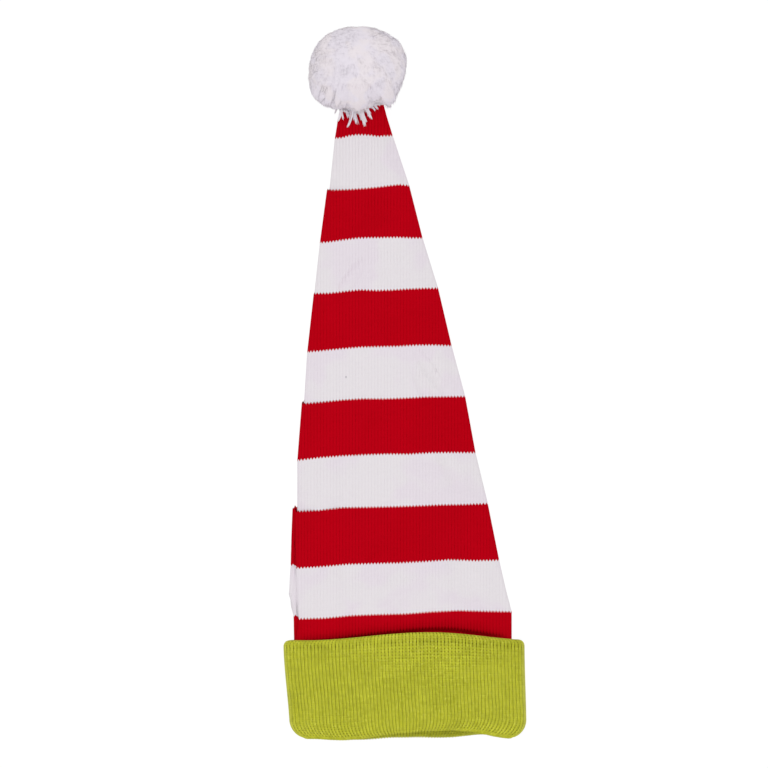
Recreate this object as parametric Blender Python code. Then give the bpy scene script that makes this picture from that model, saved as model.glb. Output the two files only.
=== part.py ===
"""Santa hat: a long striped stocking hat, knitted, lying flat.

The crown is one knitted tube in red and white bands, open at the head and closed at the tip.
The cuff is a lime band that runs on from the crown's foot, folds over at the mouth and turns
up round the crown. A yarn pompom is sewn on the tip. +Y runs from the mouth to the pompom,
+X is the hat's right side seen from above, and the hat lies on z = 0.
"""

from collections import namedtuple
from math import atan2, ceil, cos, floor, hypot, pi, radians, sin, sqrt, tan
from random import Random

import bmesh
import bpy
from mathutils import Vector

# Sizes of the knitting, in metres
KNIT_WALL = 0.0025       # thickness of one layer of knitting
CLEARANCE = 0.0003       # gap between pieces that meet

# Sizes of the crown
CROWN_WIDTH = 0.2154     # across the tube where the cuff's edge crosses it
BAND_DEPTH = 0.054       # one knitted stripe, along the hat
HOLLOW_HEIGHT = 0.017    # space between front and back where the tube lies
SIDE_HOLLOW = 0.0035     # the same space inside the side folds
DROOP = 0.0048           # how far the stripes sink at the left side
TIP_LEVEL = 0.027        # height of the tip's middle, where the pompom holds it up
GATHER_DEPTH = 0.0009    # half height of the gathers at the tip
GATHERS = 6              # gathers across the tip
TIP_START = 9.0          # stripes up from the foot where the tube starts to draw together
LIFT_RUN = (0.1, 1.1)    # stripes past the cuff's edge over which the tube sinks to the surface
DOME_POWER = 3           # fullness of the front's curve from side to side
PEEK_TURN = 1.5          # how early round the left fold the back's peek is whole

# Sizes of the cuff
CUFF_DEPTH = 0.0985      # from the fold at the mouth to the free edge
CUFF_OVERHANG = 0.0135   # how far the turned-up band stands out at each side of the crown
FOOT_TUCK = 0.0290       # how far the crown's foot lies under the turned-up band
TURN_GAP = 0.0007        # air between the turned-up band and what it lies round
MOUTH_HEIGHT = 0.021     # space between front and back at the mouth
CORNER_RADIUS = 0.016    # rounding of the mouth's corners
EDGE_CORNER = 0.0065     # rounding of the free edge's corners
EDGE_ARCH = 0.0085       # how far the free edge bows up in front
MOUTH_ARCH = 0.0075      # how far the mouth's front edge is drawn up
LEFT_LEAN = 0.0065       # how far the band's left side leans in, down to the mouth
RIGHT_LEAN = 0.0020      # how far its right side leans out, down to the mouth
MOUTH_ARCH_RUN = 0.45    # share of the cuff's depth over which the mouth's bow fades

# Bows of the cuff's two edges in front: the place across of the crest, and how far the bow
# reaches to the left and to the right of it, in half widths
Bow = namedtuple("Bow", "arch crest left right")
EDGE_BOW = Bow(EDGE_ARCH, 0.23, 1.15, 0.95)
MOUTH_BOW = Bow(MOUTH_ARCH, 0.35, 0.85, 0.42)

# Sizes of the pompom
POMPOM_WIDTH = 0.100     # across the pile, along X
POMPOM_HEIGHT = 0.082    # from the surface it lies on to its top
POMPOM_SINK = 0.004      # how much of the pile is pressed flat underneath
POMPOM_SHIFT = -0.0055   # sideways from the tip's middle
TIP_SINK = 0.0120        # how far the tip reaches into the pile
LOCK_LENGTH = 0.0070     # length of the locks that stand out of the ball
LOCK_GAP = 0.0013        # half the width of the clefts between locks
LOCK_LEAN = 0.0022       # how far a lock's end leans to one side
SHORTEST_LOCK = 0.82     # length of the shortest lock as a share of LOCK_LENGTH

# Depth of each stripe as a share of BAND_DEPTH, from the foot to the tip, red first
STRIPE_DEPTHS = (1.033, 0.941, 1.043, 0.974, 1.022, 0.965, 1.043, 0.976, 0.920, 0.952, 0.611)

# How far each stripe's top left corner juts out past the stripe above it, in metres
STRIPE_STEPS = (0.0, 0.0, 0.0023, 0.0, 0.0023, 0.0, 0.0006, 0.0, 0.0025, 0.0, 0.0)

# How far the stripes sink across the front, as shares of DROOP: place across from -1 at the left
# side to 1 at the right, and the share, which is less than 0 where they rise
SAGS = ((-1.0, 1.0), (-0.75, 0.75), (-0.5, 0.31), (-0.2, 0.04), (0.0, 0.0), (0.25, -0.17),
        (0.55, -0.44), (1.0, -0.40))

# Sides of the crown as shares of CROWN_WIDTH from its centre line. "at" counts stripes up from
# the foot, "peek" is how far the back shows past the front at the left, and "hollow" is a share
# of HOLLOW_HEIGHT.
Side = namedtuple("Side", "at left right peek hollow")
SIDES = (
    Side(0.00, 0.508, 0.508, 0.000, 1.20),
    Side(0.54, 0.500, 0.503, 0.010, 1.15),
    Side(1.00, 0.487, 0.503, 0.026, 1.06),
    Side(1.45, 0.494, 0.475, 0.040, 1.00),
    Side(2.00, 0.498, 0.445, 0.028, 1.00),
    Side(3.00, 0.494, 0.392, 0.016, 1.00),
    Side(3.20, 0.494, 0.381, 0.000, 0.99),
    Side(4.00, 0.494, 0.335, 0.000, 0.95),
    Side(5.00, 0.463, 0.287, 0.000, 0.90),
    Side(6.00, 0.448, 0.224, 0.000, 0.86),
    Side(7.00, 0.415, 0.161, 0.000, 0.80),
    Side(8.00, 0.389, 0.089, 0.000, 0.74),
    Side(9.00, 0.345, 0.027, 0.000, 0.68),
    Side(10.0, 0.319, -0.050, 0.000, 0.60),
    Side(10.6, 0.303, -0.078, 0.000, 0.52),
    Side(11.0, 0.289, -0.094, 0.000, 0.45),
)

# Soft dents in the front. "at" and "run" count stripes, "across" is -1 at the left side and 1 at
# the right, "spread" is a share of the half width, "lean" moves the dent across as it runs up,
# and "depth" is a share of HOLLOW_HEIGHT.
Dent = namedtuple("Dent", "at run across spread lean depth")
DENTS = (
    Dent(1.6, 0.7, -0.72, 0.16, 0.00, 0.13),
    Dent(1.7, 0.6, 0.62, 0.16, 0.06, 0.13),
    Dent(3.4, 0.7, -0.70, 0.15, 0.00, 0.14),
    Dent(3.8, 0.6, 0.70, 0.13, -0.08, 0.12),
    Dent(5.2, 0.4, 0.52, 0.10, -0.05, 0.12),
    Dent(5.5, 0.5, 0.66, 0.10, -0.16, 0.14),
    Dent(7.2, 0.4, -0.45, 0.16, 0.22, 0.15),
    Dent(7.5, 0.3, 0.10, 0.40, 0.00, 0.10),
    Dent(8.5, 0.3, 0.20, 0.45, 0.10, 0.09),
)

# Reach of the pompom's pile as a share of half its width, every 30 degrees clockwise from +Y
PILE_REACH = (0.89, 0.97, 1.06, 1.02, 1.00, 1.00, 0.90, 0.97, 1.06, 0.99, 0.98, 0.93)

# How finely the pieces are cut
SPANS = {"under": 7, "fold": 4, "over": 16}
STRIPE_STATIONS = (0.06, 0.53, 1.0)
CUFF_STATIONS = (0.08, 0.2, 0.4, 0.6, 0.8, 0.9)
TUNNEL_STATIONS = (0.25, 0.6)
NOSE_TURNS = (30, 60, 90, 120, 150)
SHARP_ANGLE = 40.0
BALL_CUTS = 4
CELL_STRAY = 0.05
CELL_SEED = 3
LOCK_STEPS = ((0.5, 0.95), (1.0, 0.70))
LOCK_SEED = 7

# Colours of the yarns, and how rough each one is
Yarn = namedtuple("Yarn", "name colour roughness")
RED_YARN = Yarn("red_yarn", (0.45, 0.002, 0.008), 0.85)
WHITE_YARN = Yarn("white_yarn", (0.80, 0.76, 0.79), 0.85)
LIME_YARN = Yarn("lime_yarn", (0.41, 0.42, 0.028), 0.85)
WHITE_PILE = Yarn("white_pile", (0.80, 0.77, 0.80), 0.95)

# A tube's section: y, its two sides, the back's peek, the lowest point, the heights of the whole
# and of its side folds, and how near the crown's tip it is, from 0 to 1
Slice = namedtuple("Slice", "y left right peek floor height fold tip")


def smooth(share):
    """Eased share, 0 below 0 and 1 above 1."""
    share = max(0.0, min(1.0, share))
    return share * share * (3.0 - 2.0 * share)


def blend(start, end, share):
    return start + (end - start) * share


def stripe_place(at):
    """How far up the crown the stripe count "at" lies, in metres from its foot."""
    whole = min(floor(at), len(STRIPE_DEPTHS) - 1)
    return BAND_DEPTH * (sum(STRIPE_DEPTHS[:whole]) + STRIPE_DEPTHS[whole] * (at - whole))


CROWN_LENGTH = stripe_place(len(STRIPE_DEPTHS))
EDGE_Y = FOOT_TUCK
MOUTH_Y = EDGE_Y - CUFF_DEPTH
FOLD_HEIGHT = 2.0 * KNIT_WALL + SIDE_HOLLOW
BAND_LIFT = KNIT_WALL + TURN_GAP
POMPOM_LEVEL = POMPOM_HEIGHT / 2.0 - POMPOM_SINK / 2.0


def side_at(at):
    """Row of the sides table at the stripe count "at", between its rows."""
    for low, high in zip(SIDES, SIDES[1:]):
        if at <= high.at:
            share = (at - low.at) / (high.at - low.at)
            return Side(*(blend(a, b, share) for a, b in zip(low, high)))
    return SIDES[-1]


def crown_slice(at):
    """Outer section of the crown at the stripe count "at"."""
    row = side_at(at)
    stripe = max(0, ceil(at) - 1)
    step = STRIPE_STEPS[stripe] * (at - stripe)
    y = stripe_place(at)
    tip = smooth((at - TIP_START) / (len(STRIPE_DEPTHS) - TIP_START))
    height = 2.0 * KNIT_WALL + HOLLOW_HEIGHT * row.hollow
    low, high = LIFT_RUN
    lift = BAND_LIFT * (1.0 - smooth(((y - EDGE_Y) / BAND_DEPTH - low) / (high - low)))
    rise = (TIP_LEVEL - height / 2.0) * tip
    return Slice(y, -CROWN_WIDTH * row.left - step, CROWN_WIDTH * row.right,
                 CROWN_WIDTH * row.peek, lift + rise, height, FOLD_HEIGHT, tip)


def corner_cut(distance, radius):
    """How far a rounded corner pulls the side in, at a distance from the edge."""
    if distance >= radius:
        return 0.0
    return radius - sqrt(max(0.0, radius * radius - (radius - distance) ** 2))


def band_sides(y):
    """Left and right side of the turned-up band."""
    lean = smooth((EDGE_Y - y) / CUFF_DEPTH)
    cut = corner_cut(y - MOUTH_Y, CORNER_RADIUS) + corner_cut(EDGE_Y - y, EDGE_CORNER)
    reach = CROWN_WIDTH / 2.0 + CUFF_OVERHANG - cut
    return -reach + LEFT_LEAN * lean, reach + RIGHT_LEAN * lean


def tunnel_slice(y):
    """Outer section of the cuff's inner wall, from the crown's foot down to the mouth."""
    foot = crown_slice(0.0)
    share = smooth(y / MOUTH_Y)
    left, right = band_sides(y)
    return Slice(y, blend(foot.left, left + BAND_LIFT, share),
                 blend(foot.right, right - BAND_LIFT, share), 0.0, BAND_LIFT,
                 blend(foot.height, MOUTH_HEIGHT + 2.0 * KNIT_WALL, share), FOLD_HEIGHT, 0.0)


def band_slice(y):
    """Outer section of the turned-up band."""
    left, right = band_sides(y)
    inner = crown_slice(y / BAND_DEPTH) if y > 0.0 else tunnel_slice(y)
    return Slice(y, left, right, 0.0, 0.0, inner.height + 2.0 * BAND_LIFT,
                 FOLD_HEIGHT + 2.0 * BAND_LIFT, 0.0)


def dent_depth(at, across):
    """Depth of the front's dents at a place, in metres."""
    depth = 0.0
    for dent in DENTS:
        along = (at - dent.at) / dent.run
        aside = (across - dent.across - dent.lean * along) / dent.spread
        depth += HOLLOW_HEIGHT * dent.depth * max(0.0, 1.0 - along * along - aside * aside)
    return depth


def droop(across):
    """How far a stripe sinks at a place across the front."""
    across = max(-1.0, min(1.0, across))
    for (low, sunk), (high, after) in zip(SAGS, SAGS[1:]):
        if across <= high:
            return DROOP * blend(sunk, after, (across - low) / (high - low))
    return DROOP * SAGS[-1][1]


def ring(cut, inset=0.0, at=None, arch=None):
    """Points round a section: the underside, the right fold, the front and the left fold.

    "inset" is the depth under the outer face, "at" turns on the stripes' droop and the dents,
    and "arch" is a function of the place across that moves the front along Y.
    """
    radius = cut.fold / 2.0 - inset
    left = cut.left + inset + radius
    right = cut.right - inset - radius
    base = cut.floor + inset
    dome = cut.height - cut.fold
    points = []

    def place(x, z, front):
        across = (2.0 * x - cut.left - cut.right) / (cut.right - cut.left)
        y = cut.y
        if at is not None:
            y -= droop(across) * front * (1.0 - cut.tip) * smooth(at)
        if arch is not None:
            y += arch(across) * front
        gathers = GATHER_DEPTH * cut.tip * cos(GATHERS * pi * across) * (1.0 - across * across)
        points.append(Vector((x, y, z + gathers)))

    for step in range(SPANS["under"]):
        share = step / SPANS["under"]
        place(blend(left - cut.peek, right, share), base, 0.0)
    for step in range(SPANS["fold"]):
        turn = step / SPANS["fold"]
        angle = radians(-90.0 + 180.0 * turn)
        place(right + radius * cos(angle), base + radius * (1.0 + sin(angle)), turn)
    for step in range(SPANS["over"]):
        share = step / SPANS["over"]
        across = 1.0 - 2.0 * share
        z = base + 2.0 * radius + dome * (1.0 - abs(across) ** DOME_POWER)
        if at is not None:
            z -= dent_depth(at, across) * (1.0 - cut.tip)
        place(blend(right, left, share), z, 1.0)
    for step in range(SPANS["fold"]):
        turn = step / SPANS["fold"]
        angle = radians(90.0 + 180.0 * turn)
        place(left + radius * cos(angle) - cut.peek * sin(pi / 2.0 * min(1.0, PEEK_TURN * turn)),
              base + radius * (1.0 + sin(angle)), 1.0 - turn)
    return points


def loft(name, rings, closed=False, yarns=None):
    """Solid through a row of rings, capped at both ends, or joined end to end if closed.

    "yarns" holds the material slot of each stretch between two rings.
    """
    shell = bmesh.new()
    rows = [[shell.verts.new(point) for point in points] for points in rings]
    pairs = list(zip(rows, rows[1:]))
    if closed:
        pairs.append((rows[-1], rows[0]))
    for stretch, (low, high) in enumerate(pairs):
        for index in range(len(low)):
            after = (index + 1) % len(low)
            face = shell.faces.new((low[index], low[after], high[after], high[index]))
            face.material_index = yarns[stretch] if yarns else 0
    if not closed:
        shell.faces.new(reversed(rows[0]))
        shell.faces.new(rows[-1])
    bmesh.ops.recalc_face_normals(shell, faces=shell.faces)
    return add_mesh(name, shell)


def add_mesh(name, shell):
    mesh = bpy.data.meshes.new(name)
    shell.to_mesh(mesh)
    shell.free()
    mesh.shade_smooth()
    mesh.set_sharp_from_angle(angle=radians(SHARP_ANGLE))
    return bpy.data.objects.new(name, mesh)


def material_of(yarn):
    """Plain material of one yarn."""
    material = bpy.data.materials.new(yarn.name)
    material.use_nodes = True
    shader = material.node_tree.nodes["Principled BSDF"]
    shader.inputs["Base Color"].default_value = (*yarn.colour, 1.0)
    shader.inputs["Roughness"].default_value = yarn.roughness
    shader.inputs["Metallic"].default_value = 0.0
    return material


def crown_stations():
    """Stripe counts at which the crown has a ring, from the foot to the tip."""
    stations = [0.0]
    for stripe in range(len(STRIPE_DEPTHS)):
        first = 1 if stripe == 0 else 0
        stations += [stripe + share for share in STRIPE_STATIONS[first:]]
    return stations


def end_slice(inset):
    """The crown's closed end: the tip's section, drawn together to the height of its folds."""
    last = crown_slice(len(STRIPE_DEPTHS))
    return last._replace(y=last.y - inset, left=last.left + KNIT_WALL,
                         right=last.right - KNIT_WALL)


def make_crown():
    """Hollow tube: up its inner face to the closed tip, back down its outer one, joined at the foot."""
    stations = crown_stations()
    tip = stations[-1]
    outer = [ring(crown_slice(at), 0.0, at) for at in stations[:-1]]
    last = crown_slice(tip)
    outer.append(ring(last._replace(y=last.y - KNIT_WALL), 0.0, tip))
    outer.append(ring(end_slice(0.0), KNIT_WALL / 2.0, tip))
    inner = [ring(crown_slice(at), KNIT_WALL, at) for at in stations[:-1]]
    inner.append(ring(end_slice(2.0 * KNIT_WALL), KNIT_WALL, tip))
    stripes = [int((low + high) / 2.0) % 2 for low, high in zip(stations, stations[1:])]
    yarns = list(reversed(stripes)) + [0] + stripes + [0]
    crown = loft("crown", list(reversed(inner)) + outer, yarns=yarns)
    crown.data.materials.append(material_of(RED_YARN))
    crown.data.materials.append(material_of(WHITE_YARN))
    return crown


def bow_at(bow, across):
    """How far an edge of the cuff bows up at a place across."""
    reach = bow.left if across < bow.crest else bow.right
    return bow.arch * cos(pi / 2.0 * min(1.0, abs(across - bow.crest) / reach)) ** 2


def cuff_ring(cut, inset=0.0):
    """Ring of the cuff, with the bows of its two edges fading out between them."""
    to_edge = smooth(1.0 - (EDGE_Y - cut.y) / FOOT_TUCK)
    to_mouth = smooth(1.0 - (cut.y - MOUTH_Y) / (MOUTH_ARCH_RUN * CUFF_DEPTH))

    def arch(across):
        return bow_at(EDGE_BOW, across) * to_edge + bow_at(MOUTH_BOW, across) * to_mouth

    return ring(cut, inset, arch=arch)


def make_cuff():
    """Band folded over at the mouth: down its outer face, up the tunnel, and back between."""
    nose = KNIT_WALL + TURN_GAP / 2.0
    band = [EDGE_Y - KNIT_WALL / 2.0]
    band += [EDGE_Y - CUFF_DEPTH * share for share in CUFF_STATIONS]
    band.append(MOUTH_Y + nose)
    rows = [cuff_ring(band_slice(y)) for y in band]
    outer = band_slice(MOUTH_Y + nose)
    inner = tunnel_slice(MOUTH_Y + nose)
    for turn in NOSE_TURNS:
        angle = radians(turn)
        share = (1.0 - cos(angle)) / 2.0
        low = outer._replace(y=MOUTH_Y + nose * (1.0 - sin(angle)))
        rings = zip(cuff_ring(low), cuff_ring(inner._replace(y=low.y), KNIT_WALL))
        rows.append([a.lerp(b, share) for a, b in rings])
    top = -CLEARANCE
    crease = MOUTH_Y + nose + KNIT_WALL
    tunnel = [MOUTH_Y + nose] + [blend(MOUTH_Y, top, share) for share in TUNNEL_STATIONS] + [top]
    rows += [cuff_ring(tunnel_slice(y), KNIT_WALL) for y in tunnel]
    rows += [cuff_ring(tunnel_slice(y)) for y in (top, tunnel[2], tunnel[1], crease)]
    inside = [y for y in reversed(band) if y > crease]
    rows += [cuff_ring(band_slice(y), KNIT_WALL) for y in [crease] + inside]
    rows.append(cuff_ring(band_slice(EDGE_Y), KNIT_WALL / 2.0))
    cuff = loft("cuff", rows, closed=True)
    cuff.data.materials.append(material_of(LIME_YARN))
    return cuff


def pile_reach(direction):
    """How far the pile stands out from the pompom's middle in a direction."""
    bearing = (atan2(direction.x, direction.y) / (2.0 * pi)) % 1.0 * len(PILE_REACH)
    low = floor(bearing)
    around = blend(PILE_REACH[low % len(PILE_REACH)], PILE_REACH[(low + 1) % len(PILE_REACH)],
                   smooth(bearing - low))
    level = hypot(direction.x, direction.y)
    half = POMPOM_WIDTH / 2.0 * around
    tall = POMPOM_HEIGHT / 2.0 + POMPOM_SINK / 2.0
    reach = 1.0 / sqrt((level / half) ** 2 + (direction.z / tall) ** 2)
    if direction.z < 0.0:
        reach = min(reach, POMPOM_LEVEL / -direction.z)
    return reach


def pompom_middle():
    """The pompom's centre: the tip reaches TIP_SINK into its front."""
    tip = crown_slice(len(STRIPE_DEPTHS))
    front = POMPOM_WIDTH / 2.0 * PILE_REACH[len(PILE_REACH) // 2]
    return Vector(((tip.left + tip.right) / 2.0 + POMPOM_SHIFT,
                   tip.y - TIP_SINK + front, POMPOM_LEVEL))


def holds_tip(centre, middle):
    """True where the crown's tip goes into the ball, so that no lock grows there."""
    tip = crown_slice(len(STRIPE_DEPTHS))
    aside = abs(centre.x - (tip.left + tip.right) / 2.0)
    return (centre.y < middle.y and abs(centre.z - TIP_LEVEL) < tip.height
            and aside < (tip.right - tip.left) / 2.0)


def grow_locks(ball, faces, middle):
    """Draw each face out into a tapered lock that leans a little, by chance, to one side."""
    chance = Random(LOCK_SEED)
    lean = {face: Vector([chance.uniform(-1.0, 1.0) for _ in range(3)]) for face in faces}
    length = {face: LOCK_LENGTH * chance.uniform(SHORTEST_LOCK, 1.0) for face in faces}
    for share, taper in LOCK_STEPS:
        grown = bmesh.ops.extrude_discrete_faces(ball, faces=faces)["faces"]
        lean = {new: lean[old] for old, new in zip(faces, grown)}
        length = {new: length[old] for old, new in zip(faces, grown)}
        for face in grown:
            centre = face.calc_center_median()
            for vert in face.verts:
                point = centre + (vert.co - centre) * taper + lean[face] * LOCK_LEAN * share
                direction = (point - middle).normalized()
                reach = pile_reach(direction)
                root = reach - LOCK_LENGTH
                vert.co = middle + direction * (root + length[face] * share)
                vert.co.z = max(vert.co.z, 0.0)
        faces = grown


def make_pompom():
    """Ball of yarn with short tapered locks, before it is cut away round the crown's tip."""
    middle = pompom_middle()
    chance = Random(CELL_SEED)
    ball = bmesh.new()
    bmesh.ops.create_cube(ball, size=2.0)
    bmesh.ops.subdivide_edges(ball, edges=ball.edges[:], cuts=BALL_CUTS, use_grid_fill=True)
    for vert in ball.verts:
        even = Vector([tan(value * pi / 4.0) for value in vert.co])
        stray = Vector([chance.uniform(-CELL_STRAY, CELL_STRAY) for _ in range(3)])
        direction = (even.normalized() + stray).normalized()
        vert.co = middle + direction * (pile_reach(direction) - LOCK_LENGTH)
    cells = ball.faces[:]
    bmesh.ops.inset_individual(ball, faces=cells, thickness=LOCK_GAP, use_even_offset=True)
    cells = [face for face in cells if not holds_tip(face.calc_center_median(), middle)]
    grow_locks(ball, cells, middle)
    bmesh.ops.recalc_face_normals(ball, faces=ball.faces)
    pompom = add_mesh("pompom", ball)
    pompom.data.materials.append(material_of(WHITE_PILE))
    return pompom


def make_tip_socket():
    """Cutter for the pompom: the crown's tip, larger by the clearance."""
    stations = crown_stations()[-3:-1]
    rings = [ring(crown_slice(at), -CLEARANCE, at) for at in stations]
    last = crown_slice(len(STRIPE_DEPTHS))
    for y in (last.y - KNIT_WALL, last.y + CLEARANCE):
        rings.append(ring(last._replace(y=y), -CLEARANCE, len(STRIPE_DEPTHS)))
    return loft("tip_socket", rings)


def cut_with(piece, cutter):
    cut = piece.modifiers.new("socket", "BOOLEAN")
    cut.operation = "DIFFERENCE"
    cut.solver = "EXACT"
    cut.object = cutter
    cutter.hide_render = True
    cutter.display_type = "WIRE"


def centre_over_origin(pieces, guides):
    """Move the hat so that the middle of its box lies over the origin."""
    corners = [vert.co for piece in pieces for vert in piece.data.vertices]
    shift = Vector([-(max(c[axis] for c in corners) + min(c[axis] for c in corners)) / 2.0
                    for axis in (0, 1)] + [0.0])
    for piece in pieces + guides:
        for vert in piece.data.vertices:
            vert.co += shift


def main():
    for old in list(bpy.data.objects):
        bpy.data.objects.remove(old, do_unlink=True)
    hat = bpy.data.collections.new("santa_hat")
    cutters = bpy.data.collections.new("cutters")
    bpy.context.scene.collection.children.link(hat)
    bpy.context.scene.collection.children.link(cutters)
    pieces = [make_crown(), make_cuff(), make_pompom()]
    socket = make_tip_socket()
    for piece in pieces:
        hat.objects.link(piece)
    cutters.objects.link(socket)
    centre_over_origin(pieces, [socket])
    cut_with(pieces[2], socket)


main()
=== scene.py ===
"""Looks of the long striped stocking hat: knitted crown and cuff, and a yarn pompom.

Every piece is laid out from the frame's boxes and from the hat's own sizes. The knitting is
real relief: each stitch has its crest, its valley and its course, and the yarn's finer twist
is bump.
"""
from collections import namedtuple
from math import pi

import bpy
import numpy as np
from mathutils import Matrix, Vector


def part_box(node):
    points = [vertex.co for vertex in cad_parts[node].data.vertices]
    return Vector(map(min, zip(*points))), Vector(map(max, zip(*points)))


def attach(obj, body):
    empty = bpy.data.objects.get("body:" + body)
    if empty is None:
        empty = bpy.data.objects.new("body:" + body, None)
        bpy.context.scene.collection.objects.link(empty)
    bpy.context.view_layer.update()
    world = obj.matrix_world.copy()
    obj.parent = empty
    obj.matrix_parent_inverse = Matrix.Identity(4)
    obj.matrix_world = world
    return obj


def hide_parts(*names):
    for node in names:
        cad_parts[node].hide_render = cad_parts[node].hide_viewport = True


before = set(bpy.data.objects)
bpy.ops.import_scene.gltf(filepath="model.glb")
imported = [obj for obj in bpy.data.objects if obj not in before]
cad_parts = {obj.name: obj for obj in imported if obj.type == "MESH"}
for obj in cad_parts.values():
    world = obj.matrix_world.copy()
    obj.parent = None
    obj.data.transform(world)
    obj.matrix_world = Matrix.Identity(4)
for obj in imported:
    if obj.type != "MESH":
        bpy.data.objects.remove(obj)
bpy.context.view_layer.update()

# The photo's frame, in pixels, and the real size of one pixel
PHOTO_SIZE = 768
PHOTO_MIDDLE = (404.5, 382.75)
PIXEL = 0.001

# Sizes of the knitting, in metres
WALE = 0.0032            # one column of the crown's stitches
COURSE = 0.0023          # one row of stitches
KNIT_WALL = 0.0025       # thickness of the knitting
TURN_GAP = 0.0007        # gap between the crown and the turned-up band
CLEARANCE = 0.0003       # gap between the crown's foot and the cuff's inner wall
MERGE = 0.00001          # points closer than this are one
STITCH_LEGS = ((0.0, 0.25, 0.5, 0.75, 1.0), (0.0, 1.0, 0.62, 1.0, 0.0))
CROWN_DIP = 0.16         # how far the surface dips between courses, as a share of the relief
CUFF_DIP = 0.50
RELIEF_SUNK = 0.6        # share of the relief that lies below the sheet's own surface
CROWN_RELIEF = 0.00042   # from the crest of a stitch down to the valley beside it
CUFF_RELIEF = 0.00050
CUFF_WALE = 0.0034       # one column of the cuff's stitches
CUFF_RIM = 0.0005        # how far the rounded rim of the free edge stands out
RIM_DEPTH = 0.0060       # depth of that rim
GAP_PLACE = 0.0068       # how far below the free edge the row of small gaps lies
GAP_SINK = 0.0008        # depth of those gaps
GAP_RUN = 0.0018         # how far up and down each gap runs out
ZIGZAG = 0.0023          # how far a course of the crown bends up beside each column
CUFF_ZIGZAG = 0.6 * ZIGZAG
WANDER = 0.0004          # how far columns and courses stray from straight lines
UNDER_CUFF = 0.0040      # how far the crown is pressed in along the cuff's free edge
UNDER_RUN = 0.0085       # how far up the crown that runs out
UNDER_LIP = 0.0045       # how much deeper it is right at the edge
LIP_RUN = 0.0019         # how far up from the edge that runs out

# Sizes of the crown
CROWN_WIDTH = 0.2154
BAND_DEPTH = 0.054       # usual depth of a stripe
HOLLOW_HEIGHT = 0.017    # height of the hollow in its middle
SIDE_HOLLOW = 0.0035     # and inside the side folds
TIP_LEVEL = 0.027        # height of the tip's middle
GATHER_DEPTH = 0.0009    # depth of the gathers at the tip
FOLD_HEIGHT = 2.0 * KNIT_WALL + SIDE_HOLLOW
BAND_LIFT = KNIT_WALL + TURN_GAP
PLEAT_STRIPES = 3        # stripes up to which the left side is a pleat
PLEAT_SAG = 0.45         # how far the stripes in the pleat sag, as a share of those in front
PLEAT_START = 0.0030     # peek at which the left side has become a pleat
PLEAT_TURN = 0.1         # share of the left fold over which that sag sets in
TIP_START = 9.0          # stripes up from the foot at which the gathered tip starts

# Sizes of the cuff
CUFF_DEPTH = 0.0985
CUFF_OVERHANG = 0.0135   # how far the cuff stands out past each side of the crown's foot
FOOT_TUCK = 0.0290       # how far up from the crown's foot the free edge lies
MOUTH_HEIGHT = 0.021
LEFT_CORNER = 0.0185     # rounding of the mouth's two corners
RIGHT_CORNER = 0.019
LEFT_EASE = 0.0009       # how far the cuff's left side is drawn in
EDGE_CORNER = 0.0065     # rounding of the free edge's two corners
EDGE_ARCH = 0.0085       # height of the bow of the free edge
BOW_CREST = 0.23         # its crest and how far it runs out to each side, as shares across
BOW_LEFT = 1.15
BOW_RIGHT = 0.95
LEFT_LEAN = 0.0065       # how far each side leans to the right, from the free edge to the mouth
RIGHT_LEAN = 0.0020
MOUTH_RUN = 0.45         # share of the cuff's depth over which the mouth's line fades out
NOSE_LEVEL = 0.3         # how near the mouth's line the rounded corners are still followed
SIDE_SHEEN_START = 0.10         # how far round the cuff's side folds the painted sheen starts
SIDE_SHEEN_LEFT = 0.6           # how strong the painted sheen is on the left, against the right
SIDE_SHEEN_SHOWN = 0.25         # how strong the painted sheen is on the right
EDGE_Y = FOOT_TUCK
MOUTH_Y = EDGE_Y - CUFF_DEPTH

# Sizes of the pompom
POMPOM_WIDTH = 0.100
POMPOM_HEIGHT = 0.082
POMPOM_SINK = 0.004      # how much of its lower side is flattened
POMPOM_SHIFT = -0.0055   # how far its middle lies beside the middle of the crown's tip
TIP_SINK = 0.0120        # how far the crown's tip reaches into it
ROUND_LIFT = 1.00        # how far the pompom's shading leans up from its round form
COMB_DOWN = 0.45         # how far its strands are combed towards the tip, against outward
COMB_STRAY = 0.35        # how uneven that combing is
TIP_REACH = 0.90         # reach of the pile towards the tip, as a share of half the width
LOWEST_WAY = -0.93       # upward part of the lowest direction in which a strand starts
CORE_REACH = 0.98        # reach of the body under the strands, as a share of the pile's

# Depth of each stripe as a share of BAND_DEPTH, from the foot to the tip, red first
STRIPE_DEPTHS = (1.033, 0.941, 1.043, 0.974, 1.022, 0.965, 1.043, 0.976, 0.920, 0.952, 0.611)

# How far each stripe's top left corner juts out past the stripe above it
STRIPE_STEPS = np.array((0.0, 0.0, 0.0023, 0.0, 0.0023, 0.0, 0.0006, 0.0, 0.0025, 0.0, 0.0))

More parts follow.
